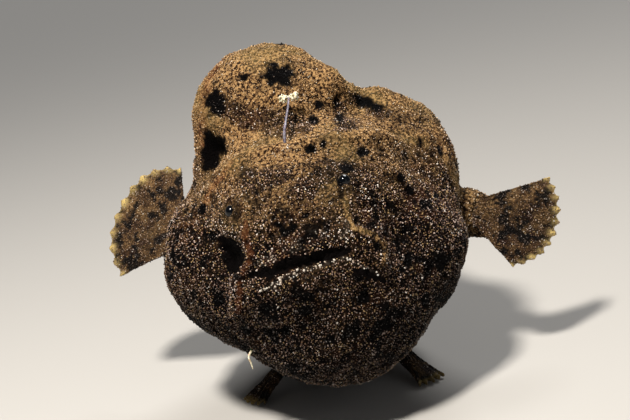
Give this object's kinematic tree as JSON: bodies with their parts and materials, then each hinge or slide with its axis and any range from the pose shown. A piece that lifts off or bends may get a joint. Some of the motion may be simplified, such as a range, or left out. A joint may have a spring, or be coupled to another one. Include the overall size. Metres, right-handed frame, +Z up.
{
  "type": "giant frogfish",
  "caption": "Life-size still model of a giant frogfish sitting on its belly and pelvic feet, both hand-like fins spread, mouth turned down.",
  "frame": {"origin": "on the floor, under the middle of the whole fish's box", "axes": "+Z up; -Y the way the snout points, so +Y runs to the tail fin along the body; +X the fish's left side"},
  "size_m": [0.248, 0.3, 0.1806],
  "materials": {
    "skin": "rough, granular, mottled tan and brown-black",
    "fin_membrane": "granular membrane with pale ray tips",
    "eye": "wet gloss",
    "lure": "pale, soft"
  },
  "bodies": {
    "root": {"head": "skin", "lower_jaw": "skin", "torso": "skin", "third_dorsal_spine": "skin", "second_dorsal_spine": "skin", "tail": "skin", "pectoral_arm_left": "skin", "pectoral_arm_right": "skin", "pectoral_fin_left": "fin_membrane", "pectoral_fin_right": "fin_membrane", "pelvic_fin_left": "fin_membrane", "pelvic_fin_right": "fin_membrane", "dorsal_fin": "fin_membrane", "anal_fin": "fin_membrane", "caudal_fin": "fin_membrane", "eye_left": "eye", "eye_right": "eye", "illicium": "lure"}
  },
  "joints": []
}
